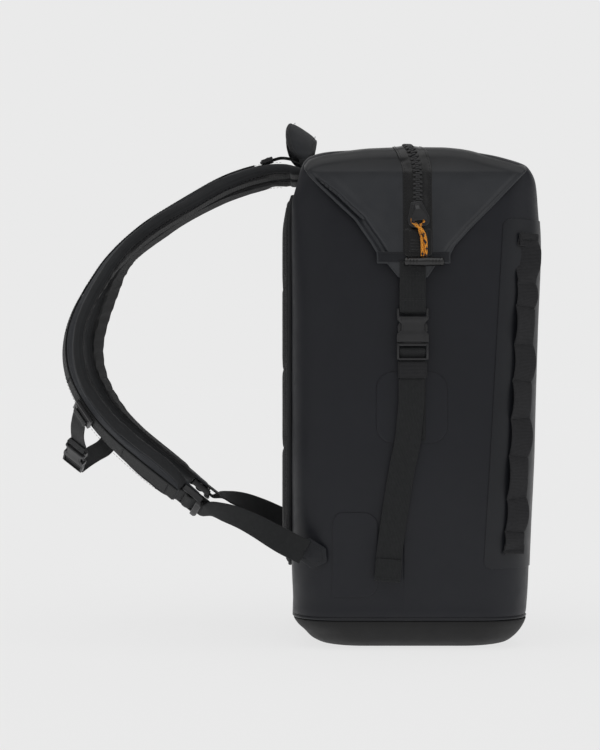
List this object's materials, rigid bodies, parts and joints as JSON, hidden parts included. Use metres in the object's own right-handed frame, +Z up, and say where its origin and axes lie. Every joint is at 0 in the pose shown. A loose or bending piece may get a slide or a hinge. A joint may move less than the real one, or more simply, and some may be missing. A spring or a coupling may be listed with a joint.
{
  "type": "tackle backpack",
  "caption": "Upright waterproof backpack with a zip-top that folds down into buckled side wings, a moulded base, curved padded shoulder straps and webbing lash loops.",
  "frame": {"origin": "centre of the base cup's flat bottom face, on the ground", "axes": "+Z up; +X towards the bag's front, away from the wearer; the two sides face -Y and +Y"},
  "size_m": [0.4893, 0.3437, 0.5343],
  "materials": {
    "coated_fabric": "satin coated fabric, fine grain",
    "base_foam": "matte moulded foam",
    "back_mesh": "matte spacer mesh over foam",
    "strap_fabric": "matte woven fabric",
    "webbing": "matte ribbed weave",
    "moulded_plastic": "satin moulded acetal",
    "zip_rubber": "glossy rubber coated tape",
    "zip_teeth": "moulded teeth",
    "cord": "braided, orange with dark blue flecks",
    "weld_patch": "satin coated fabric, welded on"
  },
  "bodies": {
    "bag": {"front_shell": "coated_fabric", "back_shell": "coated_fabric", "base_cup": "base_foam", "back_pad": "back_mesh", "zipper_tape_back": "zip_rubber", "zipper_tape_front": "zip_rubber", "zipper_teeth_back": "zip_teeth", "zipper_teeth_front": "zip_teeth", "zipper_garage": "zip_rubber", "near_buckle_socket": "moulded_plastic", "far_buckle_socket": "moulded_plastic", "near_wing_tab": "coated_fabric", "far_wing_tab": "coated_fabric", "near_upper_webbing": "webbing", "far_upper_webbing": "webbing", "near_side_patch": "weld_patch", "far_side_patch": "weld_patch", "near_corner_patch": "weld_patch", "far_corner_patch": "weld_patch", "near_daisy_chain": "webbing", "far_daisy_chain": "webbing", "near_shoulder_pad": "strap_fabric", "far_shoulder_pad": "strap_fabric", "near_face_webbing": "webbing", "far_face_webbing": "webbing", "near_ladder_lock": "moulded_plastic", "far_ladder_lock": "moulded_plastic", "near_adjust_webbing": "webbing", "far_adjust_webbing": "webbing", "near_anchor_tab": "coated_fabric", "far_anchor_tab": "coated_fabric", "near_load_lifter_lock": "moulded_plastic", "far_load_lifter_lock": "moulded_plastic", "near_load_lifter_webbing": "webbing", "far_load_lifter_webbing": "webbing"},
    "zip_slider": {"zipper_slider": "moulded_plastic"},
    "zip_pull": {"zip_pull_cord": "cord", "zip_toggle": "moulded_plastic"},
    "handle": {"handle": "strap_fabric"},
    "sternum": {"sternum_slider_near": "moulded_plastic", "sternum_slider_far": "moulded_plastic", "sternum_webbing_near": "webbing", "sternum_buckle_socket": "moulded_plastic"},
    "sternum_plug": {"sternum_buckle_plug": "moulded_plastic", "sternum_webbing_far": "webbing"},
    "sternum_arm_front": {"sternum_buckle_arm_front": "moulded_plastic"},
    "sternum_arm_back": {"sternum_buckle_arm_back": "moulded_plastic"},
    "near_plug": {"near_buckle_plug": "moulded_plastic", "near_anchor_webbing": "webbing", "near_webbing_keeper": "webbing"},
    "near_arm_front": {"near_buckle_arm_front": "moulded_plastic"},
    "near_arm_back": {"near_buckle_arm_back": "moulded_plastic"},
    "near_tail": {"near_tail_webbing": "webbing"},
    "far_plug": {"far_buckle_plug": "moulded_plastic", "far_anchor_webbing": "webbing", "far_webbing_keeper": "webbing"},
    "far_arm_front": {"far_buckle_arm_front": "moulded_plastic"},
    "far_arm_back": {"far_buckle_arm_back": "moulded_plastic"},
    "far_tail": {"far_tail_webbing": "webbing"}
  },
  "joints": [
    {"name": "zip_slide", "type": "slide", "parent": "bag", "child": "zip_slider", "axis": [-0.128, 0.1188, 0.9846], "range_m": [0, 0.035]},
    {"name": "zip_pull_swing", "type": "hinge", "parent": "zip_slider", "child": "zip_pull", "pos_m": [0.005, -0.1676, 0.4243], "axis": [-1, 0, 0], "range_deg": [0, 100]},
    {"name": "handle_swing", "type": "hinge", "parent": "bag", "child": "handle", "pos_m": [-0.1045, 0, 0.4906], "axis": [0, 1, 0], "range_deg": [-20, 35], "stiffness_Nm_per_rad": 0.08},
    {"name": "near_buckle_release", "type": "slide", "parent": "bag", "child": "near_plug", "axis": [0, 0, -1], "range_m": [0, 0.03]},
    {"name": "near_arm_front_press", "type": "hinge", "parent": "near_plug", "child": "near_arm_front", "pos_m": [0.0103, -0.1624, 0.3026], "axis": [0, -1, 0], "range_deg": [0, 8], "stiffness_Nm_per_rad": 0.2},
    {"name": "near_arm_back_press", "type": "hinge", "parent": "near_plug", "child": "near_arm_back", "pos_m": [-0.0107, -0.1624, 0.3026], "axis": [0, 1, 0], "range_deg": [0, 8], "stiffness_Nm_per_rad": 0.2},
    {"name": "near_tail_swing", "type": "hinge", "parent": "near_plug", "child": "near_tail", "pos_m": [-0.0011, -0.1609, 0.2666], "axis": [-1, 0, 0], "range_deg": [0, 75]},
    {"name": "far_buckle_release", "type": "slide", "parent": "bag", "child": "far_plug", "axis": [0, 0, -1], "range_m": [0, 0.03]},
    {"name": "far_arm_front_press", "type": "hinge", "parent": "far_plug", "child": "far_arm_front", "pos_m": [0.0103, 0.1624, 0.3026], "axis": [0, -1, 0], "range_deg": [0, 8], "stiffness_Nm_per_rad": 0.2},
    {"name": "far_arm_back_press", "type": "hinge", "parent": "far_plug", "child": "far_arm_back", "pos_m": [-0.0107, 0.1624, 0.3026], "axis": [0, 1, 0], "range_deg": [0, 8], "stiffness_Nm_per_rad": 0.2},
    {"name": "far_tail_swing", "type": "hinge", "parent": "far_plug", "child": "far_tail", "pos_m": [-0.0011, 0.1609, 0.2666], "axis": [1, 0, 0], "range_deg": [0, 75]},
    {"name": "sternum_height", "type": "slide", "parent": "bag", "child": "sternum", "axis": [0.5652, 0, -0.8249], "range_m": [-0.012, 0.012]},
    {"name": "sternum_buckle_release", "type": "slide", "parent": "sternum", "child": "sternum_plug", "axis": [-0.2113, 0.8347, -0.5085], "range_m": [0, 0.025]},
    {"name": "sternum_arm_front_press", "type": "hinge", "parent": "sternum_plug", "child": "sternum_arm_front", "pos_m": [-0.33754, -0.03074, 0.17939], "axis": [-0.5832, -0.5252, -0.6197], "range_deg": [0, 8], "stiffness_Nm_per_rad": 0.1},
    {"name": "sternum_arm_back_press", "type": "hinge", "parent": "sternum_plug", "child": "sternum_arm_back", "pos_m": [-0.35072, -0.02796, 0.18944], "axis": [0.5832, 0.5252, 0.6197], "range_deg": [0, 8], "stiffness_Nm_per_rad": 0.1}
  ],
  "couplings": [
    {"joint": "near_arm_back_press", "follows": "near_arm_front_press", "ratio": 1},
    {"joint": "far_arm_back_press", "follows": "far_arm_front_press", "ratio": 1},
    {"joint": "sternum_arm_back_press", "follows": "sternum_arm_front_press", "ratio": 1}
  ]
}
